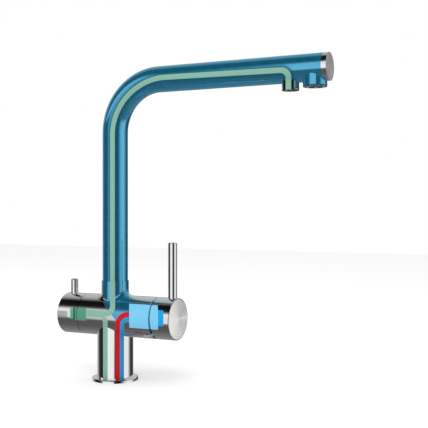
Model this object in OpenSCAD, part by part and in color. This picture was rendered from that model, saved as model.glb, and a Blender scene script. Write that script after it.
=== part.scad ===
// Three way filtered water tap: a swivel spout with a separate filtered water line,
// a mixer lever on the right and a quarter turn filtered water lever on the left.
// Origin at the centre of the foot on the worktop. X runs along the barrel and the spout, Z up.

/* [Column and base] */
// Diameter of the upright column
column_d = 39.8; // [38.8:0.1:42]
// Wall of the column round the supply tubes
column_wall = 3.1; // [2.6:0.1:3.4]
// How far the base ring stands out from the column all round
base_flange = 5.4; // [4.8:0.1:10]
// Thickness of the base ring
base_t = 3.3; // [2.8:0.1:6]
// Height of the ledge in the base ring that carries the column
ledge_t = 1.5; // [1.2:0.1:2]
// Height of the inlet block in the column's foot
inlet_h = 16; // [12:0.5:22]
// Thread diameter of the three supply inlets
inlet_thread = 8; // [7:0.1:8.4]
// Thread diameter of the fixing stud's hole
stud_thread = 6; // [5:0.1:6.4]

/* [Barrel and neck] */
// Diameter of the barrel and of both knobs
barrel_d = 45.2; // [44.8:0.1:48]
// Height of the barrel's axis above the worktop
barrel_z = 70.9; // [68:0.1:80]
// Wall of the barrel round the bore that takes the cartridge
barrel_wall = 5; // [4.6:0.1:5.2]
// Fixed barrel to the left of the spout's axis
barrel_left = 36; // [34:0.5:40]
// Fixed barrel to the right of the spout's axis
barrel_right = 54.6; // [54:0.1:55.2]
// How far the neck stands out from the spout tube all round
neck_step = 1; // [0.8:0.1:2]
// Wall of the neck round its bore
neck_wall = 2.5; // [2.3:0.05:2.6]
// How far the neck rises above the barrel's top
neck_h = 15.7; // [14.5:0.1:20]

/* [Spout] */
// Outer diameter of the spout tube
spout_d = 28; // [27.4:0.1:29]
// Wall of the spout tube
spout_wall = 1.2; // [1:0.05:1.4]
// Height of the spout's level run, at its centre line
spout_z = 329.2; // [250:1:400]
// Centre line radius of the spout's bend
spout_bend = 56; // [45:1:70]
// Reach of the spout from its own axis to the end face
reach = 246.9; // [200:1:300]
// Thickness of the end cap
end_cap_t = 2.9; // [2.5:0.1:5]
// Distance from the end face to the mixed water outlet's centre
outlet_back = 15.2; // [15:0.1:22]
// How far the mixed water outlet's side lies inside the tube's side
outlet_inset = 2; // [1.6:0.1:2.2]
// How far the mixed water outlet stands below the tube
outlet_drop = 5.1; // [4:0.1:10]
// Wall of the mixed water outlet round the aerator's thread
outlet_wall = 1.25; // [1.1:0.05:1.5]
// Distance from the end face to the filtered water nozzle's centre
nozzle_back = 41; // [38:0.5:60]
// Outer diameter of the filtered water nozzle
nozzle_d = 17.6; // [16:0.1:18]
// How far the nozzle stands below the tube
nozzle_drop = 7.3; // [5:0.1:12]

/* [Water tubes] */
// Outer diameter of the hot and cold tubes
supply_d = 5.3; // [4.8:0.1:5.4]
// Outer diameter of the filtered water tube in the spout
filter_d = 5.8; // [5:0.1:5.9]
// Outer diameter of the filtered water inlet tube
filter_in_d = 5.2; // [4.6:0.1:5.4]
// Outer diameter of the mixed water tube
mixed_d = 6.2; // [5.4:0.1:6.3]
// Wall of all the water tubes
tube_wall = 0.9; // [0.7:0.05:1.1]

/* [Mixer lever] */
// Distance from the spout's axis to the knob's end face
mixer_face = 78.8; // [77:0.1:84]
// Gap between barrel and knob at the top
mixer_gap = 1; // [0.8:0.1:1.6]
// Extra gap at the underside that lets the knob tip outward
mixer_relief = 2.3; // [2:0.1:3.4]
// Diameter of the mixer rod
mixer_rod_d = 9.6; // [8:0.1:10.4]
// Height of the mixer rod's top above the barrel's axis
mixer_rod_h = 81.6; // [60:0.5:110]
// Distance from the knob's end face back to the mixer rod
mixer_rod_back = 6.7; // [6.4:0.1:7.2]
// Clearance round the cartridge in the barrel's bore
cartridge_gap = 0.3; // [0.1:0.05:0.5]

/* [Filtered water lever] */
// Distance from the spout's axis to the knob's end face
filter_face = 62.2; // [61.8:0.1:68]
// Gap between barrel and knob
filter_gap = 0.5; // [0.3:0.1:1]
// Diameter of the filter rod
filter_rod_d = 7.9; // [6:0.1:9]
// Height of the filter rod's top above the barrel's axis
filter_rod_h = 38.2; // [32:0.5:60]
// Distance from the knob's end face back to the filter rod
filter_rod_back = 8; // [7.6:0.1:8.6]

/* [Hidden] */
$fn = 64;
// Overrun that lets a cut clear the face that it starts from
cut = 1;
// Running clearance of what turns or slides in a bore, on the radius
run_gap = 0.05;
// Looser clearance round rubber and knobs, on the radius
free_gap = 0.2;

// Walls and ledges of the body
end_wall = 5;
foot_z = ledge_t;
column_bore = column_d - 2 * column_wall;
barrel_bore = barrel_d - 2 * barrel_wall;
bore_r = barrel_bore / 2;
knob_r = barrel_d / 2;
neck_d = spout_d + 2 * neck_step;
neck_bore = neck_d - 2 * neck_wall;
neck_top = barrel_z + knob_r + neck_h;
edge = 0.4;

// Base ring and its gasket
base_d = column_d + 2 * base_flange;
ledge_w = 2.1;
ledge_r = column_d / 2 - ledge_w;
gasket_rim = 2;
gasket_w = 3;
gasket_out = base_d / 2 - gasket_rim;
gasket_in = gasket_out - gasket_w;
gasket_t = 0.9;
ring_soft = 1.1;
ring_break = 0.36;

// Inlet block: places of the threads, as shares of the column's inner radius
inlet_seat = 0.6;
inlet_top = foot_z + inlet_seat + inlet_h;
inlet_depth = 11;
stud_depth = 12;
passage_r = 1.8;
socket_depth = 2.5;
hot_shares = [0.137, 0.03];
cold_shares = [0.52, -0.327];
filter_shares = [-0.655, -0.179];
stud_shares = [-0.089, -0.667];
hot_at = hot_shares * column_bore / 2;
cold_at = cold_shares * column_bore / 2;
filter_at = filter_shares * column_bore / 2;
stud_at = stud_shares * column_bore / 2;

// Cartridge and its seat, each place from the one before it, back from the barrel's right end
nut_sunk = 1.8;
nut_end = barrel_right - nut_sunk;
nut_rim = 0.4;
nose_end = nut_end - nut_rim;
nose_cover = 6.4;
carrier_end = nose_end - nose_cover;
nut_back = 1.6;
nut_x = carrier_end + nut_back;
carrier_l = 9.4;
carrier_x = carrier_end - carrier_l;
pivot_back = 6;
pivot_x = carrier_x + pivot_back;
carrier_room = 1.4;
coupler_t = 5;
coupler_x = carrier_x - carrier_room - coupler_t;
moving_t = 2.3;
moving_x = coupler_x - moving_t;
fixed_t = 2.3;
disc_proud = 0.3;
disc_x = moving_x - fixed_t;
base_plate_t = 3;
base_x = disc_x - base_plate_t;
seat_t = 6;
seat_x = base_x - seat_t;
seat_socket = 1.5;

// Radii of the cartridge's pieces, from the barrel's bore inward
nut_wall = 3.1;
nut_r = knob_r - nut_wall;
housing_r = bore_r - cartridge_gap;
cup_wall = 3.3;
fixed_r = housing_r - cup_wall;
carrier_wall = 2.8;
carrier_r = housing_r - carrier_wall;
nose_step = 4.1;
nose_r = housing_r - nose_step;
nut_hole_r = nose_r + free_gap;
nose_wall = 4.2;
nose_hole_r = nose_r - nose_wall;
disc_step = 3.5;
disc_r = carrier_r - disc_step;
pin_step = 2.5;
pin_half = carrier_r - pin_step;
pivot_r = 2;
arm_drop = 9;
arm_r = 2;
ball_r = 2.6;
coupler_floor = 0.6;
slot_half = 7.4;

// Mixer stem: collar against the knob, square end inside it
stem_w = 9;
shank_r = 4.5;
collar_r = 8.5;
collar_room = 3;
collar_x = barrel_right + collar_room;
collar_back = 16.3;
collar_end = mixer_face - collar_back;
stem_back = 7.8;
stem_end = mixer_face - stem_back;

// Ports of the cartridge: angle from the Y axis towards the top, on one radius
port_ring_share = 0.5714;
port_ring = fixed_r * port_ring_share;
port_r = 2.4;
hot_port = 75;
cold_port = 195;
mixed_port = 315;
seal_out = 4.2;
seal_in = 2.7;
seal_t = 1.2;
hot_rise = 2;
cold_rise = -7.2;
mix_shares = [0.36, 0.56];
mix_at = mix_shares * neck_bore / 2;
elbow_cold = seat_x - cold_at[0];
elbow_hot = 10;
elbow_mixed = 5;
recess_share = 0.627;
recess_off_share = 0.236;
mix_recess = disc_r * recess_share;
mix_recess_off = disc_r * recess_off_share;
mix_recess_t = 1.2;

// Neck, plug and swivel of the spout
plug_gap = 0.7;
plug_z = barrel_z + bore_r + plug_gap;
plug_t = 4;
chamber_h = 1.9;
adapter_z = plug_z + plug_t + chamber_h;
adapter_r = neck_bore / 2 - run_gap * 2;
adapter_wall = 4.4;
adapter_bore = adapter_r - adapter_wall;
adapter_flare = 2.6;
adapter_mouth = adapter_bore + adapter_flare;
adapter_mouth_h = 1.6;
adapter_up = 16;
adapter_top = neck_top + adapter_up;
washer_t = 0.5;
washer_lap = 0.4;
washer_in = neck_bore / 2 + washer_lap;
glide_lift = 0.6;
glide_z = adapter_z + glide_lift;
glide_t = 1.8;
glide_deep = 0.8;
oring_w = 2.2;
oring_deep = 1.5;
oring_rib = 0.7;
oring_low = glide_z + glide_t + oring_rib;
oring_z = [oring_low, oring_low + oring_w + oring_rib];
screw_drop = 2.7;
screw_z = neck_top - screw_drop;
screw_tip_r = 1.2;
screw_deep = 1.5;
screw_r = 2;
swivel_back = 250;
swivel_on = 70;
swivel_over = 1;
spout_r = spout_d / 2;
spout_in = spout_r - spout_wall;
spout_foot = neck_top + washer_t;
bend_z = spout_z - spout_bend;
cap_x = reach - end_cap_t;
cap_lap = 0.06;
cap_r = spout_r + cap_lap;
face_t = 0.8;

// Filtered water tube: coupling, side step and bends
link_up = 2;
link_top = neck_top + link_up;
socket_gap = 1.8;
socket_r = adapter_bore - socket_gap;
socket_lift = 5;
socket_low = adapter_z + socket_lift;
socket_up = 5;
socket_top = link_top + socket_up;
coupling_lift = 2;
coupling_z = socket_low + coupling_lift;
coupling_w = 2;
coupling_deep = 0.9;
step_x = 3;
step_wall = 1.1;
step_room_r = socket_r - step_wall;
step_room_h = 2;
lift = 1;
tube_bend = spout_bend + lift;
drop_bend = 8;
nozzle_x = reach - nozzle_back;
nozzle_low = spout_z - spout_r - nozzle_drop;
nozzle_r = nozzle_d / 2;
nozzle_up = 5.3;
nozzle_top = spout_z - spout_r + nozzle_up;
nozzle_wall = 2.2;
nozzle_room = 5.8;
flow_low = 0.8;
flow_t = 3.4;
flow_hole = 0.7;
flow_ring = 3.6;

// Mixed water outlet
outlet_x = reach - outlet_back;
outlet_d = spout_d - 2 * outlet_inset;
outlet_r = outlet_d / 2;
outlet_low = spout_z - spout_r - outlet_drop;
outlet_up = 10.2;
outlet_top = spout_z - spout_r + outlet_up;
aerator_r = outlet_r - outlet_wall;
aerator_lift = 0.6;
aerator_low = outlet_low + aerator_lift;
aerator_h = 7;
aerator_wall = 1.4;
aerator_lip = 1;
screen_t = 0.8;
screen_cells = 7;
screen_hole_share = 0.62;
rubber_t = 1.2;

// Filter valve, measured to the left of the spout's axis
block_in = barrel_left - end_wall;
block_depth = 18;
block_out = barrel_left - block_depth;
block_gap = 6.6;
block_r = bore_r - block_gap;
valve_wall = 2;
valve_r = block_r - valve_wall;
valve_depth = 11.5;
valve_in = barrel_left - valve_depth;
fixed_filter_t = 2.5;
chamber_in = valve_in - fixed_filter_t;
moving_filter_t = 2.3;
disc_gap = 1.5;
filter_disc_r = valve_r - disc_gap;
pocket_gap = 0.1;
pocket_r = filter_disc_r + pocket_gap;
valve_flange = 3;
hex_r = 12.2;
tower_r = 8.5;
tower_back = 9.9;
tower_end = filter_face - tower_back;
spindle_r = 4;
spindle_neck = 3.1;
spindle_back = 5.2;
spindle_end = filter_face - spindle_back;
spindle_sq = 5.6;
clip_t = 0.8;
clip_r = 6;
oring_lead = 9;
oring_at = barrel_left + oring_lead;
oring_t = 1.2;
filter_drop_share = 0.5;
filter_drop = block_r * filter_drop_share;
elbow_in = 5;
elbow_link = 9;
filter_hole_r = 1.5;
valve_turn = 90;
// Angle of the moving disc's groove with the lever shut, a quarter turn from the inlet
filter_groove = atan2(filter_at[1], -filter_drop) - valve_turn;

// Knobs and rods
rim_wall = 2;
rim_chamfer = 1.5;
rim_cone = 4;
mixer_cover = 12.8;
mixer_solid = mixer_face - mixer_cover;
hub_r = 9.5;
hub_gap = 1.3;
hub_x = collar_end + hub_gap;
disc_rim = 1;
disc_t = 1;
disc_bore_r = knob_r - disc_rim;
mixer_rod_x = mixer_face - mixer_rod_back;
mixer_thread = 3;
mixer_grub = 2.5;
mixer_grub_end = 12.6;
filter_wall = 2.8;
filter_solid = spindle_end;
filter_hub_r = 7.4;
hub_back = 9;
filter_hub_x = filter_face - hub_back;
filter_rod_x = filter_face - filter_rod_back;
filter_thread = 2.5;
lug_r = 5;
lug_h = 8.2;
lug_in = knob_r - filter_wall - lug_h;
filter_grub = 2;
filter_grub_back = 6.5;
filter_grub_x = filter_face - filter_grub_back;
rod_seat = 1.2;
rod_thread_l = 8;
plug_l = 1.8;

// Colours as the photograph shows them
chrome = [0.78, 0.79, 0.8];
brushed = [0.72, 0.71, 0.7];
blue_metal = [0.16, 0.5, 0.66];
filter_green = [0.51, 0.7, 0.62];
valve_green = [0.31, 0.57, 0.45];
stub_green = [0.76, 0.88, 0.8];
dark_green = [0.12, 0.33, 0.27];
hot_red = [0.78, 0.06, 0.16];
cold_blue = [0.18, 0.57, 0.76];
cartridge_blue = [0.47, 0.8, 0.96];
stem_blue = [0, 0.63, 0.9];
brass = [0.79, 0.65, 0.35];
rubber = [0.12, 0.12, 0.13];
ceramic = [0.93, 0.92, 0.9];
plastic_white = [0.9, 0.91, 0.92];

// Lays what is drawn upwards along the barrel, starting x from the spout's axis
module along_barrel(x) translate([x, 0, barrel_z]) rotate([0, 90, 0]) children();

// The same towards the left end
module along_left(x) translate([-x, 0, barrel_z]) rotate([0, -90, 0]) children();

// A spot on the cartridge's port circle, for what is drawn along the barrel
module at_port(angle) translate([-port_ring * sin(angle), port_ring * cos(angle), 0]) children();

module ring(r_out, r_in, h) {
    difference() {
        cylinder(r = r_out, h = h);
        translate([0, 0, -cut]) cylinder(r = r_in, h = h + 2 * cut);
    }
}

module wall_section(r_out, r_in) {
    difference() {
        circle(r = r_out);
        circle(r = r_in);
    }
}

// Upright length of tube
module riser(x, y, z, h, r_out, r_in) {
    translate([x, y, z]) linear_extrude(height = h) wall_section(r_out, r_in);
}

// Level length of tube along X
module level(x, y, z, l, r_out, r_in) {
    translate([x, y, z]) rotate([0, 90, 0]) linear_extrude(height = l) wall_section(r_out, r_in);
}

// Bend of a tube in an upright plane, from one angle round to the next
module elbow(x, y, z, bend, from, turn, r_out, r_in) {
    translate([x, y, z]) rotate([90, 0, 0]) rotate([0, 0, from])
        rotate_extrude(angle = turn) translate([bend, 0]) wall_section(r_out, r_in);
}

// A slanted bore from one point to another, running over at both ends
module slant_bore(a, b, r) {
    v = b - a;
    l = norm(v);
    translate(a) rotate([0, acos(v[2] / l), atan2(v[1], v[0])]) cylinder(r = r, h = l);
}

module tap_body() {
    color(chrome) difference() {
        union() {
            translate([0, 0, foot_z]) cylinder(d = column_d, h = barrel_z - foot_z);
            along_barrel(-barrel_left) rounded_drum(barrel_left + barrel_right, knob_r);
            translate([0, 0, barrel_z]) cylinder(d = neck_d, h = neck_top - barrel_z);
        }
        translate([0, 0, foot_z - cut]) cylinder(d = column_bore, h = barrel_z - foot_z + cut);
        along_barrel(-block_in) cylinder(r = bore_r, h = block_in + barrel_right + cut);
        along_barrel(nut_x) cylinder(r = nut_r, h = barrel_right - nut_x + cut);
        along_barrel(-barrel_left - cut) cylinder(r = valve_r, h = end_wall + 2 * cut);
        translate([0, 0, barrel_z]) cylinder(d = neck_bore, h = neck_top - barrel_z + cut);
        translate([0, 0, screw_z]) rotate([-90, 0, 0]) cylinder(r = screw_r, h = neck_d);
    }
}

// A turned drum with its edges just broken
module rounded_drum(l, r) {
    rotate_extrude() polygon([
        [0, 0],
        [r - edge, 0],
        [r, edge],
        [r, l - edge],
        [r - edge, l],
        [0, l]
    ]);
}

module base_ring() {
    r = base_d / 2;
    color(chrome) difference() {
        rotate_extrude() polygon([
            [0, 0],
            [r, 0],
            [r, base_t - ring_soft],
            [r - ring_break, base_t - ring_break],
            [r - ring_soft, base_t],
            [0, base_t]
        ]);
        translate([0, 0, -cut]) cylinder(r = ledge_r, h = base_t + 2 * cut);
        translate([0, 0, ledge_t]) cylinder(d = column_d, h = base_t);
        translate([0, 0, -cut]) ring(gasket_out, gasket_in, gasket_t + cut);
    }
}

module base_gasket() {
    color(rubber) ring(gasket_out, gasket_in, gasket_t);
}

module inlet_block() {
    color(brass) difference() {
        translate([0, 0, foot_z + inlet_seat]) cylinder(d = column_bore, h = inlet_h);
        for (p = [hot_at, cold_at, filter_at]) {
            translate([p[0], p[1], -cut]) cylinder(d = inlet_thread, h = inlet_depth + cut);
            translate([p[0], p[1], 0]) cylinder(r = passage_r, h = inlet_top);
        }
        translate([stud_at[0], stud_at[1], -cut]) cylinder(d = stud_thread, h = stud_depth + cut);
        for (p = [hot_at, cold_at])
            translate([p[0], p[1], inlet_top - socket_depth]) cylinder(d = supply_d, h = inlet_h);
        translate([filter_at[0], filter_at[1], inlet_top - socket_depth])
            cylinder(d = filter_in_d, h = inlet_h);
    }
}

// A supply tube from the inlet block up and round into the seat
module supply_tube(at, rise, bend) {
    r = supply_d / 2;
    r_in = r - tube_wall;
    top = barrel_z + rise;
    low = inlet_top - socket_depth;
    start = at[0] + bend;
    riser(at[0], at[1], low, top - bend - low, r, r_in);
    elbow(start, at[1], top - bend, bend, 90, 90, r, r_in);
    level(start, at[1], top, seat_x + seat_socket - start, r, r_in);
}

module hot_tube() {
    color(hot_red) supply_tube(hot_at, hot_rise, elbow_hot);
}

module cold_tube() {
    color(cold_blue) supply_tube(cold_at, cold_rise, elbow_cold);
}

module filter_inlet_tube() {
    r = filter_in_d / 2;
    r_in = r - tube_wall;
    top = barrel_z - filter_drop;
    low = inlet_top - socket_depth;
    end = filter_at[0] - elbow_in;
    color(filter_green) {
        riser(filter_at[0], filter_at[1], low, top - elbow_in - low, r, r_in);
        elbow(end, filter_at[1], top - elbow_in, elbow_in, 0, 90, r, r_in);
        level(-block_out - seat_socket, filter_at[1], top, end + block_out + seat_socket, r, r_in);
    }
}

module filter_link_tube() {
    r = filter_d / 2;
    r_in = r - tube_wall;
    start = -block_out - seat_socket;
    color(filter_green) {
        level(start, 0, barrel_z, -elbow_link - start, r, r_in);
        elbow(-elbow_link, 0, barrel_z + elbow_link, elbow_link, 270, 90, r, r_in);
        riser(0, 0, barrel_z + elbow_link, link_top - barrel_z - elbow_link, r, r_in);
    }
}

module mixed_tube() {
    r = mixed_d / 2;
    r_in = r - tube_wall;
    y = mix_at[1];
    z = barrel_z + port_ring * sin(mixed_port);
    end = mix_at[0] + elbow_mixed;
    color(cartridge_blue) {
        level(end, y, z, seat_x + seat_socket - end, r, r_in);
        elbow(end, y, z + elbow_mixed, elbow_mixed, 180, 90, r, r_in);
        riser(mix_at[0], y, z + elbow_mixed, plug_z + plug_t - z - elbow_mixed, r, r_in);
    }
}

// Points on the seat's two faces, in the barrel's own directions
function seat_point(y, z, x) = [-z, y, x];
function port_point(angle, x) = [-port_ring * sin(angle), port_ring * cos(angle), x];

module cartridge_seat() {
    low_mix = port_ring * sin(mixed_port);
    bore = supply_d / 2 - tube_wall;
    color(cartridge_blue) along_barrel(seat_x) difference() {
        cylinder(r = bore_r, h = seat_t);
        translate([-hot_rise, hot_at[1], -cut]) cylinder(d = supply_d, h = seat_socket + cut);
        translate([-cold_rise, cold_at[1], -cut]) cylinder(d = supply_d, h = seat_socket + cut);
        translate([-low_mix, mix_at[1], -cut]) cylinder(d = mixed_d, h = seat_socket + cut);
        slant_bore(seat_point(hot_at[1], hot_rise, seat_socket / 2),
            port_point(hot_port, seat_t + seat_socket / 2), bore);
        slant_bore(seat_point(cold_at[1], cold_rise, seat_socket / 2),
            port_point(cold_port, seat_t + seat_socket / 2), bore);
        at_port(mixed_port) cylinder(r = port_r, h = seat_t + cut);
    }
}

module port_seals() {
    color(rubber) along_barrel(base_x)
        for (a = [hot_port, cold_port, mixed_port]) at_port(a) ring(seal_out, seal_in, seal_t);
}

module cartridge_base() {
    color(cartridge_blue) along_barrel(base_x) difference() {
        cylinder(r = housing_r, h = base_plate_t);
        for (a = [hot_port, cold_port, mixed_port]) at_port(a) {
            translate([0, 0, -cut]) cylinder(r = port_r, h = base_plate_t + 2 * cut);
            translate([0, 0, -cut]) cylinder(r = seal_out, h = seal_t + cut);
        }
    }
}

module fixed_ceramic_disc() {
    color(ceramic) along_barrel(disc_x) difference() {
        cylinder(r = fixed_r, h = fixed_t);
        for (a = [hot_port, cold_port, mixed_port])
            at_port(a) translate([0, 0, -cut]) cylinder(r = port_r, h = fixed_t + 2 * cut);
    }
}

module cartridge_housing() {
    inner = carrier_r + run_gap;
    color(cartridge_blue) along_barrel(disc_x) difference() {
        union() {
            cylinder(r = housing_r, h = nut_x - disc_x);
            cylinder(r = nose_r, h = nose_end - disc_x);
        }
        translate([0, 0, -cut]) cylinder(r = fixed_r, h = fixed_t + cut);
        translate([0, 0, fixed_t - disc_proud])
            cylinder(r = inner, h = carrier_end + run_gap - moving_x + disc_proud);
        translate([0, 0, fixed_t]) cylinder(r = nose_hole_r, h = nose_end - disc_x);
    }
}

module cartridge_nut() {
    color(cartridge_blue) along_barrel(nut_x) ring(nut_r, nut_hole_r, nut_end - nut_x);
}

module neck_plug() {
    color(brass) difference() {
        translate([0, 0, plug_z]) cylinder(d = neck_bore, h = plug_t);
        translate([0, 0, plug_z - cut]) cylinder(d = filter_d, h = plug_t + 2 * cut);
        translate([mix_at[0], mix_at[1], plug_z - cut]) cylinder(d = mixed_d, h = plug_t + 2 * cut);
    }
}

module slip_washer() {
    color(plastic_white) translate([0, 0, neck_top]) ring(spout_r, washer_in, washer_t);
}

module spout_screw() {
    reach_in = adapter_r - screw_deep + run_gap * 2;
    step = neck_bore / 2;
    color(chrome) translate([0, 0, screw_z]) rotate([-90, 0, 0]) {
        translate([0, 0, step]) cylinder(r = screw_r, h = neck_d / 2 - step - edge);
        translate([0, 0, reach_in]) cylinder(r = screw_tip_r, h = step - reach_in);
    }
}

module valve_block() {
    color(valve_green) along_left(block_out) difference() {
        cylinder(r = block_r, h = block_in - block_out);
        translate([0, 0, chamber_in - block_out]) cylinder(r = valve_r, h = block_in - block_out);
        translate([0, 0, -cut]) cylinder(d = filter_d, h = seat_socket + cut);
        translate([0, 0, -cut]) cylinder(r = filter_hole_r, h = block_in);
        translate([-filter_drop, filter_at[1], -cut]) cylinder(d = filter_in_d, h = seat_socket + cut);
        translate([-filter_drop, filter_at[1], -cut]) cylinder(r = filter_hole_r, h = block_in);
    }
}

module valve_body() {
    wide = valve_in + moving_filter_t + run_gap;
    color(valve_green) along_left(valve_in) difference() {
        union() {
            cylinder(r = valve_r, h = barrel_left - valve_in);
            translate([0, 0, barrel_left - valve_in]) cylinder(r = hex_r, h = valve_flange, $fn = 6);
            translate([0, 0, barrel_left - valve_in]) cylinder(r = tower_r, h = tower_end - barrel_left);
        }
        translate([0, 0, -cut]) cylinder(r = pocket_r, h = wide - valve_in + cut);
        translate([0, 0, -cut]) cylinder(r = spindle_r + run_gap, h = tower_end - valve_in + 2 * cut);
    }
}

module filter_fixed_disc() {
    color(ceramic) along_left(chamber_in) difference() {
        cylinder(r = valve_r, h = fixed_filter_t);
        translate([0, 0, -cut]) cylinder(r = filter_hole_r, h = valve_in);
        translate([-filter_drop, filter_at[1], -cut]) cylinder(r = filter_hole_r, h = valve_in);
    }
}

module filter_moving_disc() {
    inlet = norm([filter_drop, filter_at[1]]);
    color(ceramic) along_left(valve_in) difference() {
        cylinder(r = filter_disc_r, h = moving_filter_t);
        rotate([0, 0, filter_groove]) translate([0, -filter_hole_r, -cut])
            cube([inlet, 2 * filter_hole_r, moving_filter_t / 2 + cut]);
    }
}

module filter_spindle() {
    start = valve_in + moving_filter_t;
    color(stub_green) along_left(start) difference() {
        union() {
            cylinder(r = spindle_r, h = filter_hub_x - start);
            translate([-spindle_sq / 2, -spindle_sq / 2, filter_hub_x - start])
                cube([spindle_sq, spindle_sq, spindle_end - filter_hub_x]);
        }
        translate([0, 0, oring_at - start]) ring(spindle_r + cut, spindle_neck, oring_t);
        translate([0, 0, tower_end - start]) ring(spindle_r + cut, spindle_neck, clip_t);
    }
}

module spindle_oring() {
    color(rubber) along_left(oring_at) ring(spindle_r + run_gap / 2, spindle_neck, oring_t);
}

module spindle_clip() {
    color(dark_green) along_left(tower_end + run_gap)
        ring(clip_r, spindle_neck, clip_t - run_gap * 2);
}

module spout_tube() {
    color(blue_metal) difference() {
        union() {
            riser(0, 0, spout_foot, bend_z - spout_foot, spout_r, spout_in);
            elbow(spout_bend, 0, bend_z, spout_bend, 90, 90, spout_r, spout_in);
            level(spout_bend, 0, spout_z, cap_x - spout_bend, spout_r, spout_in);
        }
        translate([nozzle_x, 0, nozzle_low]) cylinder(r = nozzle_r, h = spout_z - nozzle_low);
        translate([outlet_x, 0, outlet_low]) cylinder(r = outlet_r, h = spout_z - outlet_low);
    }
}

module spout_adapter() {
    sweep = swivel_on + swivel_back;
    half_tip = asin(screw_tip_r / (adapter_r - screw_deep)) + swivel_over;
    color(brass) difference() {
        union() {
            translate([0, 0, adapter_z]) cylinder(r = adapter_r, h = spout_foot - adapter_z);
            translate([0, 0, spout_foot]) cylinder(r = spout_in, h = adapter_top - spout_foot);
        }
        translate([0, 0, adapter_z - cut]) cylinder(r = adapter_bore, h = adapter_top);
        translate([0, 0, adapter_z])
            cylinder(r1 = adapter_mouth, r2 = adapter_bore, h = adapter_mouth_h);
        translate([0, 0, glide_z]) ring(adapter_r + cut, adapter_r - glide_deep, glide_t);
        for (z = oring_z) translate([0, 0, z]) ring(adapter_r + cut, adapter_r - oring_deep, oring_w);
        translate([0, 0, screw_z - screw_tip_r - run_gap])
            rotate([0, 0, 90 - swivel_on - half_tip])
            rotate_extrude(angle = sweep + 2 * half_tip)
            translate([adapter_r - screw_deep, 0])
            square([screw_deep + cut, 2 * (screw_tip_r + run_gap)]);
    }
}

module spout_orings() {
    color(rubber) for (z = oring_z)
        translate([0, 0, z]) ring(neck_bore / 2 - run_gap, adapter_r - oring_deep, oring_w);
}

module glide_ring() {
    color(plastic_white) translate([0, 0, glide_z])
        ring(neck_bore / 2 - run_gap, adapter_r - glide_deep, glide_t);
}

module spout_filter_tube() {
    r = filter_d / 2;
    r_in = r - tube_wall;
    slip = r + run_gap;
    over = -step_x;
    high = spout_z + lift;
    fall = high - drop_bend;
    color(filter_green) {
        difference() {
            translate([0, 0, socket_low]) cylinder(r = socket_r, h = socket_top - socket_low);
            translate([0, 0, socket_low - cut]) cylinder(r = slip, h = link_top - socket_low + 2 * cut);
            translate([0, 0, link_top]) cylinder(r = step_room_r, h = step_room_h);
            translate([over, 0, link_top]) cylinder(r = r_in, h = socket_top);
            translate([0, 0, coupling_z]) cylinder(r = r + coupling_deep, h = coupling_w);
        }
        riser(over, 0, socket_top, high - tube_bend - socket_top, r, r_in);
        elbow(over + tube_bend, 0, high - tube_bend, tube_bend, 90, 90, r, r_in);
        level(over + tube_bend, 0, high, nozzle_x - drop_bend - over - tube_bend, r, r_in);
        elbow(nozzle_x - drop_bend, 0, fall, drop_bend, 0, 90, r, r_in);
        riser(nozzle_x, 0, nozzle_top - socket_depth, fall - nozzle_top + socket_depth, r, r_in);
    }
}

module coupling_oring() {
    color(rubber) translate([0, 0, coupling_z])
        ring(filter_d / 2 + coupling_deep, filter_d / 2 + run_gap / 2, coupling_w);
}

module filter_nozzle() {
    color(chrome) difference() {
        translate([nozzle_x, 0, nozzle_low]) cylinder(r = nozzle_r, h = nozzle_top - nozzle_low);
        translate([nozzle_x, 0, nozzle_low - cut])
            cylinder(r = nozzle_r - nozzle_wall, h = nozzle_room + cut);
        translate([nozzle_x, 0, nozzle_low]) cylinder(r = passage_r, h = nozzle_top);
        translate([nozzle_x, 0, nozzle_top - socket_depth]) cylinder(d = filter_d, h = nozzle_top);
    }
}

module flow_straightener() {
    color(plastic_white) translate([nozzle_x, 0, nozzle_low + flow_low]) difference() {
        cylinder(r = nozzle_r - nozzle_wall, h = flow_t);
        translate([0, 0, -cut]) cylinder(r = flow_hole, h = flow_t + 2 * cut);
        for (a = [0 : 45 : 315]) rotate([0, 0, a])
            translate([flow_ring, 0, -cut]) cylinder(r = flow_hole, h = flow_t + 2 * cut);
    }
}

module outlet_housing() {
    color(blue_metal) translate([outlet_x, 0, outlet_low])
        ring(outlet_r, aerator_r, outlet_top - outlet_low);
}

module aerator_insert() {
    inner = aerator_r - aerator_wall;
    color(plastic_white) translate([outlet_x, 0, aerator_low]) difference() {
        cylinder(r = aerator_r, h = aerator_h);
        translate([0, 0, screen_t]) cylinder(r = inner - aerator_lip, h = aerator_h);
        translate([0, 0, aerator_h - rubber_t]) cylinder(r = inner, h = aerator_h);
        translate([0, 0, -cut]) cylinder(r = inner - aerator_lip, h = aerator_h);
    }
}

// Square mesh at the aerator's mouth, held in the insert
module aerator_screen() {
    r = aerator_r - aerator_wall - aerator_lip;
    n = screen_cells;
    pitch = 2 * r / n;
    hole = pitch * screen_hole_share;
    color(brushed) translate([outlet_x, 0, aerator_low]) difference() {
        cylinder(r = r, h = screen_t);
        for (i = [-n : n], j = [-n : n])
            if (norm([i, j]) * pitch + hole < r)
                translate([i * pitch - hole / 2, j * pitch - hole / 2, -cut])
                    cube([hole, hole, screen_t + 2 * cut]);
    }
}

module aerator_gasket() {
    color(rubber) translate([outlet_x, 0, aerator_low + aerator_h])
        ring(aerator_r, aerator_r - 2 * aerator_wall, rubber_t);
}

module spout_end_cap() {
    color(chrome) translate([cap_x, 0, spout_z]) rotate([0, 90, 0]) difference() {
        cylinder(r = cap_r, h = end_cap_t);
        translate([0, 0, end_cap_t - face_t]) cylinder(r = cap_r - edge, h = end_cap_t);
    }
}

module spout_end_disc() {
    color(brushed) translate([reach - face_t, 0, spout_z]) rotate([0, 90, 0])
        cylinder(r = cap_r - edge, h = face_t);
}

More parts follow.
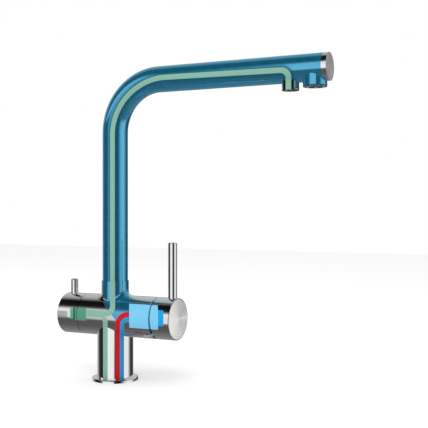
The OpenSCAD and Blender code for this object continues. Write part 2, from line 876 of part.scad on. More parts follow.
module cartridge_carrier() {
    w = stem_w / 2 + run_gap * 2;
    color(cartridge_blue) along_barrel(carrier_x) difference() {
        cylinder(r = carrier_r, h = carrier_end - carrier_x);
        translate([-slot_half, -w, -cut]) cube([2 * slot_half, 2 * w, carrier_end - carrier_x + 2 * cut]);
        translate([0, -pin_half, pivot_back]) rotate([-90, 0, 0])
            cylinder(r = pivot_r, h = 2 * pin_half);
    }
}

module stem_pin() {
    color(brushed) translate([pivot_x, -pin_half, barrel_z]) rotate([-90, 0, 0])
        cylinder(r = pivot_r, h = 2 * pin_half);
}

module moving_ceramic_disc() {
    color(ceramic) along_barrel(moving_x) difference() {
        cylinder(r = disc_r, h = moving_t);
        translate([mix_recess_off, 0, -cut]) cylinder(r = mix_recess, h = mix_recess_t + cut);
    }
}

module disc_coupler() {
    lap = ball_r + run_gap * 3;
    color(plastic_white) along_barrel(coupler_x) difference() {
        cylinder(r = disc_r, h = coupler_t);
        translate([-lap, -lap, coupler_floor]) cube([2 * lap, 2 * lap, coupler_t]);
    }
}

module mixer_stem() {
    h = stem_w / 2;
    color(stem_blue) difference() {
        union() {
            along_barrel(pivot_x - arm_drop) sphere(r = ball_r);
            along_barrel(pivot_x - arm_drop) cylinder(r = arm_r, h = arm_drop);
            translate([pivot_x - h, -h, barrel_z - h]) cube([carrier_end - pivot_x + h, stem_w, stem_w]);
            along_barrel(carrier_end) cylinder(r = shank_r, h = collar_x - carrier_end);
            along_barrel(collar_x) cylinder(r = collar_r, h = collar_end - collar_x);
            translate([collar_end, -h, barrel_z - h]) cube([stem_end - collar_end, stem_w, stem_w]);
        }
        translate([pivot_x, -cut - h, barrel_z]) rotate([-90, 0, 0])
            cylinder(r = pivot_r + run_gap, h = stem_w + 2 * cut);
    }
}

// Radial bore at the foot of a knob, straight down from the barrel's axis
module down_bore(x, from, to, r) translate([x, 0, barrel_z - to]) cylinder(r = r, h = to - from);

module mixer_knob() {
    rim = barrel_right + mixer_gap;
    tilt = atan(mixer_relief / barrel_d);
    h = stem_w / 2 + run_gap;
    color(chrome) difference() {
        along_barrel(rim) rounded_drum(mixer_face - rim, knob_r);
        difference() {
            along_barrel(rim - cut) cylinder(r = knob_r - rim_wall, h = mixer_solid - rim + cut);
            along_barrel(hub_x) cylinder(r = hub_r, h = mixer_solid - hub_x);
        }
        along_barrel(rim)
            cylinder(r1 = knob_r - rim_wall + rim_chamfer, r2 = knob_r - rim_wall, h = rim_cone);
        translate([rim, 0, barrel_z + knob_r]) rotate([0, -tilt, 0])
            translate([-barrel_d, -barrel_d, -barrel_d * 2]) cube([barrel_d, barrel_d * 2, barrel_d * 3]);
        translate([collar_end, -h, barrel_z - h]) cube([stem_end - collar_end + cut, 2 * h, 2 * h]);
        along_barrel(mixer_face - disc_t) cylinder(r = disc_bore_r, h = disc_t + cut);
        rod_hole(mixer_rod_x, mixer_rod_d / 2, mixer_thread);
        down_bore(mixer_rod_x - mixer_thread, 0, knob_r + cut, mixer_grub);
    }
}

// Seat and threaded hole for a rod in the top of a knob
module rod_hole(x, r, thread) {
    translate([x, 0, barrel_z + knob_r - rod_seat]) cylinder(r = r, h = rod_seat + cut);
    translate([x, 0, barrel_z + knob_r - rod_seat - rod_thread_l])
        cylinder(r = thread, h = rod_thread_l + cut);
}

// A rod with a broken top edge and its threaded foot
module knob_rod(x, r, h, thread) {
    low = knob_r - rod_seat;
    translate([x, 0, barrel_z + low]) rotate_extrude() polygon([
        [0, 0],
        [r, 0],
        [r, h - low - edge],
        [r - edge, h - low],
        [0, h - low]
    ]);
    translate([x, 0, barrel_z + low - rod_thread_l]) cylinder(r = thread, h = rod_thread_l);
}

module mixer_rod() {
    color(chrome) knob_rod(mixer_rod_x, mixer_rod_d / 2, mixer_rod_h, mixer_thread);
}

module mixer_grub_screw() {
    x = mixer_rod_x - mixer_thread;
    color(brushed) down_bore(x, stem_w / 2 + run_gap, mixer_grub_end, mixer_grub);
}

module mixer_index_plug() {
    color(chrome) down_bore(mixer_rod_x - mixer_thread, knob_r - plug_l - edge, knob_r - edge, mixer_grub);
}

module mixer_end_disc() {
    color(brushed) along_barrel(mixer_face - disc_t) cylinder(r = disc_bore_r, h = disc_t);
}

module filter_knob() {
    rim = barrel_left + filter_gap;
    h = spindle_sq / 2 + run_gap;
    inner = knob_r - filter_wall;
    color(chrome) difference() {
        union() {
            difference() {
                along_left(rim) rounded_drum(filter_face - rim, knob_r);
                along_left(rim - cut) cylinder(r = inner, h = filter_solid - rim + cut);
            }
            along_left(filter_hub_x) cylinder(r = filter_hub_r, h = filter_solid - filter_hub_x + cut);
            translate([-filter_rod_x, 0, barrel_z + lug_in]) cylinder(r = lug_r, h = inner - lug_in + cut);
        }
        translate([-spindle_end - free_gap, -h, barrel_z - h])
            cube([spindle_end - filter_hub_x + cut, 2 * h, 2 * h]);
        along_left(filter_face - disc_t) cylinder(r = disc_bore_r, h = disc_t + cut);
        rod_hole(-filter_rod_x, filter_rod_d / 2, filter_thread);
        down_bore(-filter_grub_x, 0, knob_r + cut, filter_grub);
    }
}

module filter_rod() {
    color(chrome) knob_rod(-filter_rod_x, filter_rod_d / 2, filter_rod_h, filter_thread);
}

module filter_grub_screw() {
    color(brushed) down_bore(-filter_grub_x, spindle_sq / 2 + run_gap, filter_hub_r, filter_grub);
}

module filter_index_plug() {
    color(chrome) down_bore(-filter_grub_x, knob_r - plug_l - edge, knob_r - edge, filter_grub);
}

module filter_end_disc() {
    color(brushed) along_left(filter_face - disc_t) cylinder(r = disc_bore_r, h = disc_t);
}

tap_body();
base_ring();
base_gasket();
inlet_block();
hot_tube();
cold_tube();
filter_inlet_tube();
filter_link_tube();
mixed_tube();
cartridge_seat();
port_seals();
cartridge_base();
cartridge_housing();
fixed_ceramic_disc();
cartridge_nut();
neck_plug();
slip_washer();
spout_screw();
valve_block();
valve_body();
filter_fixed_disc();
spout_tube();
spout_adapter();
spout_orings();
glide_ring();
spout_filter_tube();
coupling_oring();
filter_nozzle();
flow_straightener();
outlet_housing();
aerator_insert();
aerator_screen();
aerator_gasket();
spout_end_cap();
spout_end_disc();
cartridge_carrier();
stem_pin();
moving_ceramic_disc();
disc_coupler();
mixer_stem();
mixer_knob();
mixer_rod();
mixer_grub_screw();
mixer_index_plug();
mixer_end_disc();
filter_spindle();
spindle_oring();
spindle_clip();
filter_moving_disc();
filter_knob();
filter_rod();
filter_grub_screw();
filter_index_plug();
filter_end_disc();
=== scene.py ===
# Three way filtered water tap: finishes, fine pieces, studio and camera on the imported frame.
# The photograph draws the water ways over the tap, so the shells carry them in their own colours.
import math

import bmesh
import bpy
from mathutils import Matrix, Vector


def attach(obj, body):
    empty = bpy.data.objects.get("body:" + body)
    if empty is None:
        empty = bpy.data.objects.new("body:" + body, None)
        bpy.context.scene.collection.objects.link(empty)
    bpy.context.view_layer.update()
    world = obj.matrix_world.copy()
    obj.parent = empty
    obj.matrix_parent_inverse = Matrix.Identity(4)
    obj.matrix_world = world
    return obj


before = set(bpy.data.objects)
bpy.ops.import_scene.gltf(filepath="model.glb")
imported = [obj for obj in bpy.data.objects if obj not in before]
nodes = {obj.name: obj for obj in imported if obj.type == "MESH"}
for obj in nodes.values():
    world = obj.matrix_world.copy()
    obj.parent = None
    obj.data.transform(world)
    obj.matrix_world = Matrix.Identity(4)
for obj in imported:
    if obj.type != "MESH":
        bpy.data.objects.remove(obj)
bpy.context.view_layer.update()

mm = 0.001
print("frame loaded:", len(nodes), "nodes")


def boxOf(name):
    # The lowest and the highest corner of a node, in the tap's own coordinates
    corners = nodes[name].bound_box
    return [[pick(corner[axis] for corner in corners) for axis in range(3)] for pick in (min, max)]


def middleOf(name):
    return [(low + high) / 2 for low, high in zip(*boxOf(name))]


# Heights of the barrel's axis and of the spout's level run, and the barrel's radius
barrelAxis = middleOf("filter_knob")[2]
barrelRadius = boxOf("filter_knob")[1][2] - barrelAxis
spoutAxis = middleOf("spout_end_cap")[2]


class Wire:
    # A number, colour or direction on a surface. Arithmetic on it adds Math nodes to its finish.
    def __init__(self, sheet, socket):
        self.sheet = sheet
        self.socket = socket

    def sum(self, operation, *values):
        return self.sheet.add("ShaderNodeMath", {"operation": operation}, values)

    def __add__(self, other):
        return self.sum("ADD", self, other)

    def __radd__(self, other):
        return self.sum("ADD", other, self)

    def __sub__(self, other):
        return self.sum("SUBTRACT", self, other)

    def __rsub__(self, other):
        return self.sum("SUBTRACT", other, self)

    def __mul__(self, other):
        return self.sum("MULTIPLY", self, other)

    def __rmul__(self, other):
        return self.sum("MULTIPLY", other, self)

    def __truediv__(self, other):
        return self.sum("DIVIDE", self, other)

    def __rtruediv__(self, other):
        return self.sum("DIVIDE", other, self)

    def root(self):
        return self.sum("SQRT", self)

    def __abs__(self):
        return self.sum("ABSOLUTE", self)

    def __lt__(self, other):
        return self.sum("LESS_THAN", self, other)

    def __gt__(self, other):
        return self.sum("GREATER_THAN", self, other)

    def least(self, other):
        return self.sum("MINIMUM", self, other)

    def __or__(self, other):
        return self.sum("MAXIMUM", self, other)


class Sheet:
    # The node sheet of one material or world
    def __init__(self, owner):
        owner.use_nodes = True
        self.tree = owner.node_tree
        self.tree.nodes.clear()

    def add(self, kind, settings=None, values=(), take=0):
        # Every node comes from here: its settings first, then the values or wires of its sockets
        node = self.tree.nodes.new(kind)
        for name, value in (settings or {}).items():
            if name == "stops":
                self.setStops(node.color_ramp, value)
            else:
                setattr(node, name, value)
        pairs = values.items() if isinstance(values, dict) else enumerate(values)
        for name, value in pairs:
            self.plug(node.inputs[name], value)
        if take is None:
            return node
        return Wire(self, node.outputs[take])

    def setStops(self, ramp, stops):
        while len(ramp.elements) > 1:
            ramp.elements.remove(ramp.elements[-1])
        for i, (place, shade) in enumerate(stops):
            element = ramp.elements[0] if i == 0 else ramp.elements.new(place)
            element.position = place
            element.color = (shade, shade, shade, 1) if isinstance(shade, float) else (*shade, 1)

    def plug(self, socket, value):
        if isinstance(value, Wire):
            self.tree.links.new(value.socket, socket)
        elif isinstance(value, tuple) and len(value) == 3 and socket.type == "RGBA":
            socket.default_value = (*value, 1)
        else:
            socket.default_value = value

    def place(self):
        # The object coordinates, in metres
        return self.add("ShaderNodeTexCoord", {}, (), "Object")

    def axes(self, where):
        return [self.add("ShaderNodeSeparateXYZ", {}, [where], axis) for axis in "XYZ"]

    def noise(self, where, scale, detail=2.0):
        values = {"Vector": where, "Scale": scale, "Detail": detail}
        return self.add("ShaderNodeTexNoise", {}, values, "Fac")

    def stretched(self, where, scale):
        # The same coordinates, stretched so that a pattern runs along one way
        return self.add("ShaderNodeMapping", {}, {"Vector": where, "Scale": scale}, "Vector")

    def ease(self, value, low, high, toLow=0.0, toHigh=1.0):
        return self.add("ShaderNodeMapRange", {"interpolation_type": "SMOOTHSTEP"},
                        {"Value": value, "From Min": low, "From Max": high,
                         "To Min": toLow, "To Max": toHigh}, "Result")

    def blend(self, mask, first, second):
        # First where the mask is 0, second where it is 1; each a colour or a colour wire
        return self.add("ShaderNodeMix", {"data_type": "RGBA"}, {0: mask, 6: first, 7: second}, 2)

    def bump(self, height, strength, distance):
        return self.add("ShaderNodeBump", {},
                        {"Height": height, "Strength": strength, "Distance": distance}, "Normal")


def linear(r, g, b):
    # The photograph's colours are written as screen values from 0 to 255
    return tuple(round((c / 255 / 12.92) if c / 255 <= 0.04045 else ((c / 255 + 0.055) / 1.055) ** 2.4, 4)
                 for c in (r, g, b))


def newFinish(name, build):
    material = bpy.data.materials.new(name)
    sheet = Sheet(material)
    shader = build(sheet)
    sheet.add("ShaderNodeOutputMaterial", {}, {"Surface": shader}, None)
    return material


# The photograph draws the water ways over the tap. Here they are a flat drawing laid level onto the front
# of the shells, in the tap's own coordinates: s runs aside and z up, in millimetres. The share is the
# drawing's width against the tap's. The lay is how far a line of the drawing shifts aside for each unit
# that it runs back: one for the uprights, one for the spout's level run and drop.
asideShare = 0.9053
lays = {"upright": 0.628, "drop": 0.36}

wayShades = {
    "filtered": linear(134, 182, 163), "valve": linear(84, 150, 122), "valveRing": linear(22, 88, 80),
    "valveTail": linear(98, 164, 136), "stub": linear(198, 230, 212), "hot": linear(200, 0, 28),
    "cold": linear(24, 146, 204), "cartridge": linear(124, 204, 243), "stem": linear(0, 160, 228),
}
wayRoughness = 0.42
# The soft shadow beside the spout's way, by the distance from its middle
wayShadow = {"start": 2.5, "end": 7.1, "depth": 0.95, "colour": (0.0, 0.06, 0.07)}

# The ways' courses on the drawing: where each runs up, the radius of its bend, and half its width.
# Outside its own length a run counts as farther off than the clear distance
clear = 100.0
supplySizes = {"bendLow": 63.35, "right": 16.5}
supplies = {
    "hot": {"at": 2.7, "radius": 12.65, "half": 2.7},
    "cold": {"at": 7.75, "radius": 7.75, "half": 2.4},
}
inletSizes = {"at": -11.46, "bendLow": 66.4, "radius": 3.6, "half": 2.68,
              "level": 71.65, "left": -34.5, "right": -15.0, "halfLevel": 0.87}
linkSizes = {"at": -3.03, "bendHigh": 83.65, "radius": 8.32, "high": 200, "level": 75.32, "left": -34.5,
             "half": 2.95}
spoutSizes = {"at": -3.24, "low": 90, "bendLow": 269.9, "radius": 58.6, "half": 2.73,
              "level": 327.55, "slope": 0.01555, "left": 58.6, "middle": 119.4,
              "dropAt": 184.51, "dropHigh": 318.95, "dropRadius": 7.71, "dropLow": 290}


def drawnAt(spot, lay="upright"):
    # The place on the flat drawing that belongs to a spot of a shell, and whether the spot is in front
    x, y, z = spot
    return (x + y * lays[lay]) * (asideShare / mm), z / mm, y < 0


def uprightRun(s, z, at, low, high):
    # Distance to the middle of an upright run
    return abs(s - at) + ((z < low) + (z > high)) * clear


def levelRun(s, z, at, left, right, slope=0.0, middle=0.0):
    # The same for a level run, which may fall by a slope from its height at a middle
    line = z - at + (s - middle) * slope if slope else z - at
    return abs(line) + ((s < left) + (s > right)) * clear


def turnRun(s, z, centre, radius, sideS, sideZ):
    # The same for a quarter turn, which lies on the side of its centre that the two signs give
    ds = s - centre[0]
    dz = z - centre[1]
    outside = (ds * sideS < 0) + (dz * sideZ < 0)
    return abs((ds * ds + dz * dz).root() - radius) + outside * clear


def panel(s, z, sides):
    # 1 inside a rectangle of the drawing and 0 outside
    left, right, low, high = sides
    return (s > left) * (s < right) * (z > low) * (z < high)


def supplyWay(s, z, at, radius, half):
    # Up the column, round a bend to the right and level into the cartridge
    low = supplySizes["bendLow"]
    run = uprightRun(s, z, at, 0, low).least(turnRun(s, z, (at + radius, low), radius, -1, 1))
    return run.least(levelRun(s, z, low + radius, at + radius, supplySizes["right"])) < half


def inletWay(s, z):
    # Up the column, round a short bend to the left, and a thin line on to the valve
    c = inletSizes
    bend = turnRun(s, z, (c["at"] - c["radius"], c["bendLow"]), c["radius"], 1, 1)
    thick = uprightRun(s, z, c["at"], 0, c["bendLow"]).least(bend) < c["half"]
    return thick | (levelRun(s, z, c["level"], c["left"], c["right"]) < c["halfLevel"])


def linkRun(s, z):
    # Level from the valve and round a bend up into the neck
    c = linkSizes
    middle = c["at"] - c["radius"]
    run = uprightRun(s, z, c["at"], c["bendHigh"], c["high"])
    run = run.least(turnRun(s, z, (middle, c["bendHigh"]), c["radius"], 1, -1))
    return run.least(levelRun(s, z, c["level"], c["left"], middle))


def spoutRun(s, z, t):
    # t is the place aside in the lay of the drop, for the level run and what follows it
    c = spoutSizes
    dropMiddle = c["dropAt"] - c["dropRadius"]
    run = uprightRun(s, z, c["at"], c["low"], c["bendLow"])
    run = run.least(turnRun(s, z, (c["at"] + c["radius"], c["bendLow"]), c["radius"], -1, 1))
    run = run.least(levelRun(t, z, c["level"], c["left"], dropMiddle, c["slope"], c["middle"]))
    run = run.least(turnRun(t, z, (dropMiddle, c["dropHigh"]), c["dropRadius"], 1, 1))
    return run.least(uprightRun(t, z, c["dropAt"], c["dropLow"], c["dropHigh"]))


panels = {
    "cartridge": (15.86, 47.8, 61.6, 86.84), "stem": (47.8, 53.6, 66.0, 82.3),
    "valve": (-47.4, -34.17, 65.83, 79.73), "valveRing": (-49.45, -47.4, 65.63, 81.28),
    "valveTail": (-53.1, -49.45, 67.34, 78.81), "stub": (-56.4, -53.1, 68.73, 75.84),
}


def drawWays(sheet, spot, colour, names):
    # Lays the named ways over a colour, one after another; gives the new colour and where it is drawn
    c = wayShadow
    s, z, front = drawnAt(spot)
    total = front * 0
    for name in names:
        if name in panels:
            mask = panel(s, z, panels[name])
        elif name in supplies:
            mask = supplyWay(s, z, **supplies[name])
        elif name == "inlet":
            mask = inletWay(s, z)
        elif name == "link":
            mask = linkRun(s, z) < linkSizes["half"]
        else:
            run = spoutRun(s, z, drawnAt(spot, "drop")[0])
            shadow = sheet.ease(run, c["start"], c["end"], c["depth"], 0.0) * front
            colour = sheet.blend(shadow, colour, c["colour"])
            mask = run < spoutSizes["half"]
        mask = mask * front
        colour = sheet.blend(mask, colour, wayShades.get(name, wayShades["filtered"]))
        total = total | mask
    return colour, total


chromeSizes = {"colour": (0.90, 0.90, 0.89), "cooler": (0.86, 0.865, 0.87), "fineScale": 420.0,
               "roughness": 0.045, "smudge": 0.03, "smudgeScale": 55.0}
tintSizes = {"colour": (0.155, 0.50, 0.74), "under": (0.0, 0.33, 0.58), "layer": 0.24, "roughness": 0.06,
             "streakScale": 160.0, "streakShare": (0.94, 0.97, 0.98), "paintedRimShade": (0.0, 0.05, 0.10),
             "end": boxOf("spout_tube")[1][0] - 0.0022,
             "outletRim": boxOf("outlet_housing")[0][2] + 0.0011}
# The tinted patch on the body, in millimetres of the drawing: its sides, its slanting lower left edge,
# and the circle round the cold way's bend that it stays out of. Above the neck's foot it goes all round
patchSizes = {"left": -13.0, "right": 16.0, "low": 63.5, "slant": 1.107, "edge": 69.4, "middle": 15.5,
              "radius": 10.15, "neckFoot": 96.5}


def polished(sheet, colour, roughness, where, drawn=None, tinted=None):
    # Polished plate: wiped smudges in its gloss. What is drawn on it is satin and not metal, and the tint
    # is a thin layer that lets some of its own deep colour through
    c = chromeSizes
    t = tintSizes
    smudge = sheet.noise(sheet.stretched(where, (1.0, 1.0, 0.35)), c["smudgeScale"], 4.0)
    rough = sheet.ease(smudge, 0.35, 0.75, roughness, roughness + c["smudge"])
    metal = 1.0
    if drawn is not None:
        metal = 1 - drawn
        rough = rough * metal + drawn * wayRoughness
    plate = sheet.add("ShaderNodeBsdfPrincipled", {}, {
        "Base Color": colour, "Metallic": metal, "Roughness": rough, "Specular IOR Level": 0.3})
    if tinted is None:
        return plate
    cloud = sheet.ease(sheet.noise(where, t["streakScale"], 3.0), 0.3, 0.7, 0.9, 1.1)
    under = sheet.add("ShaderNodeBsdfPrincipled", {}, {"Base Color": t["under"], "Roughness": 0.5})
    share = tinted * (cloud * t["layer"])
    if drawn is not None:
        share = share * (1 - drawn)
    return sheet.add("ShaderNodeMixShader", {}, {0: share, 1: plate, 2: under})


def plateColour(sheet, where):
    fine = sheet.noise(where, chromeSizes["fineScale"], 3.0)
    return sheet.blend(sheet.ease(fine, 0.3, 0.8), chromeSizes["colour"], chromeSizes["cooler"])


def chromeFinish(ways=()):
    def build(sheet):
        where = sheet.place()
        colour, drawn = plateColour(sheet, where), None
        if ways:
            colour, drawn = drawWays(sheet, sheet.axes(where), colour, ways)
        return polished(sheet, colour, chromeSizes["roughness"], where, drawn)
    return build


def tintColour(sheet, where):
    # The tint has faint streaks along it
    t = tintSizes
    streak = sheet.noise(sheet.stretched(where, (0.25, 1.0, 0.25)), t["streakScale"], 3.0)
    streaked = tuple(part * share for part, share in zip(t["colour"], t["streakShare"]))
    return sheet.blend(sheet.ease(streak, 0.3, 0.7), t["colour"], streaked)


mixerWays = ["cartridge", "stem"]
valveWays = ["valve", "valveRing", "valveTail", "stub"]


def bodyFinish(sheet):
    # Chrome with the ways, the tint round the neck, and its patch down to where the mixed water enters
    c = patchSizes
    where = sheet.place()
    spot = sheet.axes(where)
    s, z, front = drawnAt(spot)
    ds = s - c["middle"]
    dz = z - supplySizes["bendLow"]
    tinted = (s > c["left"]) * (s < c["right"]) * (z > c["low"]) * (z + s * c["slant"] > c["edge"])
    tinted = tinted * front * (ds * ds + dz * dz > c["radius"] ** 2) | (z > c["neckFoot"])
    colour = sheet.blend(tinted, plateColour(sheet, where), tintColour(sheet, where))
    ways = ["inlet", "link", "cold", "hot"] + mixerWays + valveWays
    colour, drawn = drawWays(sheet, spot, colour, ways)
    return polished(sheet, colour, chromeSizes["roughness"], where, drawn, tinted)


def tintFinish(ways, end, rim=None):
    # The tint up to its end along X, with a painted shade in a dark colour on its rim below a height
    def build(sheet):
        where = sheet.place()
        spot = sheet.axes(where)
        colour = tintColour(sheet, where)
        if rim is not None:
            # Painted shade: a dark band along the rim below the given height
            colour = sheet.blend(spot[2] < rim, colour, tintSizes["paintedRimShade"])
        tinted = spot[0] < end
        colour = sheet.blend(tinted, chromeSizes["colour"], colour)
        colour, drawn = drawWays(sheet, spot, colour, ways)
        return polished(sheet, colour, tintSizes["roughness"], where, drawn, tinted)
    return build


insideSizes = {"darker": 0.9, "smoothest": 0.37, "roughest": 0.53, "grain": 260.0, "rise": 0.0003}


def insideFinish(colour):
    # Tubes and mouldings inside, in the colours that the ways are drawn in, with a faint grain
    def build(sheet):
        c = insideSizes
        where = sheet.place()
        grains = sheet.noise(sheet.stretched(where, (1.0, 1.0, 0.4)), c["grain"], 3.0)
        darker = tuple(part * c["darker"] for part in colour)
        mixed = sheet.blend(sheet.ease(grains, 0.3, 0.75), colour, darker)
        return sheet.add("ShaderNodeBsdfPrincipled", {}, {
            "Base Color": mixed,
            "Roughness": sheet.ease(grains, 0.2, 0.8, c["smoothest"], c["roughest"]),
            "Normal": sheet.bump(grains, 0.08, c["rise"])})
    return build


def ramp(sheet, value, low, high, stops):
    share = (value - low) / (high - low)
    places = [((at - low) / (high - low), float(shade)) for at, shade in stops]
    return sheet.add("ShaderNodeValToRGB", {"stops": places}, {"Fac": share}, "Color")


# Painted highlight and shade on the turned faces: how bright they are painted round their centre, by the
# angle up from the back (degrees)
mixerPaintedLight = [(-180, 1.0), (-140, 1.0), (-110, 0.85), (-75, 0.66), (-45, 0.5), (-20, 0.5), (-7, 0.62),
            (0, 0.95), (6, 0.6), (25, 0.38), (55, 0.35), (85, 0.5), (115, 0.75), (150, 0.95), (180, 1.0)]
spoutPaintedLight = [(-180, 0.9), (-120, 0.75), (-60, 1.0), (0, 0.85), (60, 0.7), (120, 0.8), (180, 0.9)]


brushedSizes = {"rings": 5200.0, "cloud": 40.0, "paintedLightInner": 0.006, "darker": 0.3, "smoothest": 0.36,
                "roughest": 0.5, "rise": 0.00008}


def brushedFinish(colour, metal, middle, paintedLightFan):
    # End faces turned on a lathe: fine rings round the middle's height, a fan of painted highlight and
    # shade round it, and a soft uneven tone
    def build(sheet):
        c = brushedSizes
        where = sheet.place()
        y, z = sheet.axes(where)[1:]
        z = z - middle
        far = (y * y + z * z).root()
        rings = sheet.noise(sheet.add("ShaderNodeCombineXYZ", {}, [far, 0.0, 0.0]), c["rings"])
        cloud = sheet.noise(where, c["cloud"])
        angle = sheet.add("ShaderNodeMath", {"operation": "ARCTAN2"}, [z, y]) * (180 / math.pi)
        # The painted highlight and shade: a fan of tone by the angle round the middle, faded in from it
        streak = sheet.add("ShaderNodeSeparateColor", {}, [ramp(sheet, angle, -180, 180, paintedLightFan)], 0)
        tone = sheet.ease(rings, 0.25, 0.75, 0.0, 0.12)
        tone = tone + (1 - streak) * sheet.ease(far, 0.0, c["paintedLightInner"], 0.2, 0.8)
        tone = tone + sheet.ease(cloud, 0.3, 0.7, 0.0, 0.08)
        mixed = sheet.blend(tone, colour, tuple(part * c["darker"] for part in colour))
        return sheet.add("ShaderNodeBsdfPrincipled", {}, {
            "Base Color": mixed, "Metallic": metal,
            "Roughness": sheet.ease(rings, 0.2, 0.8, c["smoothest"], c["roughest"]),
            "Normal": sheet.bump(rings, 0.25, c["rise"])})
    return build


castSizes = {"darker": 0.85, "rougher": 0.12}


def castFinish(colour, metal, roughness, grain, rise):
    # Turned brass, moulded rubber, plastic and ceramic: one grain, in tone, gloss and height
    def build(sheet):
        c = castSizes
        grains = sheet.noise(sheet.place(), grain, 4.0)
        darker = tuple(part * c["darker"] for part in colour)
        return sheet.add("ShaderNodeBsdfPrincipled", {}, {
            "Base Color": sheet.blend(sheet.ease(grains, 0.3, 0.7), colour, darker), "Metallic": metal,
            "Roughness": sheet.ease(grains, 0.25, 0.75, roughness, roughness + c["rougher"]),
            "Normal": sheet.bump(grains, 0.2, rise)})
    return build


builds = {
    "bodyPlate": bodyFinish,
    "plate": chromeFinish(),
    "mixerPlate": chromeFinish(mixerWays),
    "filterPlate": chromeFinish(valveWays),
    "spoutTint": tintFinish(["spout"], end=tintSizes["end"]),
    "outletTint": tintFinish([], end=1.0, rim=tintSizes["outletRim"]),
    "nozzlePlate": chromeFinish(["spout"]),
    "mixerFace": brushedFinish((1.0, 0.98, 0.96), 0.08, barrelAxis, mixerPaintedLight),
    "spoutFace": brushedFinish((0.50, 0.46, 0.46), 0.30, spoutAxis, spoutPaintedLight),
    "filteredWay": insideFinish(linear(134, 183, 164)),
    "valveGreen": insideFinish(linear(79, 146, 118)),
    "spindleGreen": insideFinish(linear(196, 228, 210)),
    "clipGreen": insideFinish(linear(20, 84, 78)),
    "hotWay": insideFinish(linear(199, 14, 44)),
    "coldWay": insideFinish(linear(47, 144, 196)),
    "cartridgeCase": insideFinish(linear(124, 205, 244)),
    "stemBlue": insideFinish(linear(0, 158, 228)),
    "brassTurned": castFinish((0.62, 0.42, 0.16), metal=1.0, roughness=0.28, grain=180.0, rise=0.00015),
    "rubberMoulded": castFinish((0.025, 0.025, 0.027), metal=0.0, roughness=0.6, grain=700.0, rise=0.0001),
    "blackMoulded": castFinish((0.012, 0.02, 0.035), metal=0.0, roughness=0.35, grain=320.0, rise=0.0001),
    "ceramicGround": castFinish((0.84, 0.82, 0.78), metal=0.0, roughness=0.18, grain=500.0, rise=0.00003),
    "whiteMoulded": castFinish((0.80, 0.81, 0.82), metal=0.0, roughness=0.4, grain=320.0, rise=0.0001),
    "steelDrawn": castFinish((0.56, 0.56, 0.57), metal=1.0, roughness=0.3, grain=260.0, rise=0.0001),
}
finishes = {name: newFinish(name, build) for name, build in builds.items()}

# The nodes that each finish covers
covers = {
    "bodyPlate": ["tap_body", "slip_washer"],
    "plate": ["base_ring", "spout_end_cap", "mixer_rod", "mixer_index_plug", "filter_rod",
              "filter_index_plug"],
    "mixerPlate": ["mixer_knob"],
    "filterPlate": ["filter_knob"],
    "spoutTint": ["spout_tube"],
    "outletTint": ["outlet_housing"],
    "nozzlePlate": ["filter_nozzle"],
    "mixerFace": ["mixer_end_disc", "filter_end_disc"],
    "spoutFace": ["spout_end_disc"],
    "filteredWay": ["filter_inlet_tube", "filter_link_tube", "valve_block", "spout_filter_tube"],
    "valveGreen": ["valve_body"],
    "spindleGreen": ["filter_spindle"],
    "clipGreen": ["spindle_clip"],
    "hotWay": ["hot_tube"],
    "coldWay": ["cold_tube"],
    "cartridgeCase": ["mixed_tube", "cartridge_seat", "cartridge_base", "cartridge_housing",
                      "cartridge_nut", "cartridge_carrier"],
    "stemBlue": ["mixer_stem"],
    "brassTurned": ["inlet_block", "neck_plug", "spout_adapter"],
    "rubberMoulded": ["base_gasket", "port_seals", "spout_orings", "coupling_oring", "aerator_gasket",
                      "spindle_oring"],
    "blackMoulded": ["flow_straightener", "aerator_insert"],
    "ceramicGround": ["fixed_ceramic_disc", "moving_ceramic_disc", "filter_fixed_disc",
                      "filter_moving_disc"],
    "whiteMoulded": ["glide_ring", "disc_coupler"],
    "steelDrawn": ["spout_screw", "aerator_screen", "stem_pin", "mixer_grub_screw", "filter_grub_screw"],
}
for finish, names in covers.items():
    for name in names:
        for place in nodes[name].material_slots:
            place.material = finishes[finish]
print("finishes on", sum(len(names) for names in covers.values()), "nodes")


class Form(Sheet):
    # The geometry nodes of one piece. Its sizes are named inputs, read inside by their names
    def __init__(self, name, sizes):
        self.tree = bpy.data.node_groups.new(name, "GeometryNodeTree")
        self.sizes = sizes
        self.keys = {}
        for key, value in sizes.items():
            kind = "NodeSocketInt" if isinstance(value, int) else "NodeSocketFloat"
            socket = self.tree.interface.new_socket(key, in_out="INPUT", socket_type=kind)
            self.keys[key] = socket.identifier
        self.tree.interface.new_socket("Geometry", in_out="OUTPUT", socket_type="NodeSocketGeometry")
        self.given = self.add("NodeGroupInput", {}, (), None)

    def size(self, *names):
        return [Wire(self, self.given.outputs[name]) for name in names]

    def grow(self, name, geometry, finish):
        # Ends the tree, sets the sizes by identifier, and gives back the result as a plain mesh
        real = self.add("GeometryNodeRealizeInstances", {}, [geometry])
        worn = {"Geometry": real, "Material": finishes[finish]}
        dressed = self.add("GeometryNodeSetMaterial", {}, worn)
        self.add("NodeGroupOutput", {}, [dressed], None)
        holder = bpy.data.objects.new(name + "_grown", bpy.data.meshes.new(name + "_seed"))
        bpy.context.scene.collection.objects.link(holder)
        modifier = holder.modifiers.new(name, "NODES")
        modifier.node_group = self.tree
        for key, value in self.sizes.items():
            modifier[self.keys[key]] = value
        grown = holder.evaluated_get(bpy.context.evaluated_depsgraph_get())
        data = bpy.data.meshes.new_from_object(grown)
        holder.modifiers.remove(modifier)
        bpy.data.objects.remove(holder)
        return data


# The neck stands one millimetre proud of the washer on its top
filletSizes = {"neck": boxOf("slip_washer")[1][0] + mm, "barrel": barrelRadius, "axisZ": barrelAxis,
               "ball": 0.0065, "sunk": 0.0004, "round": 144, "across": 10}


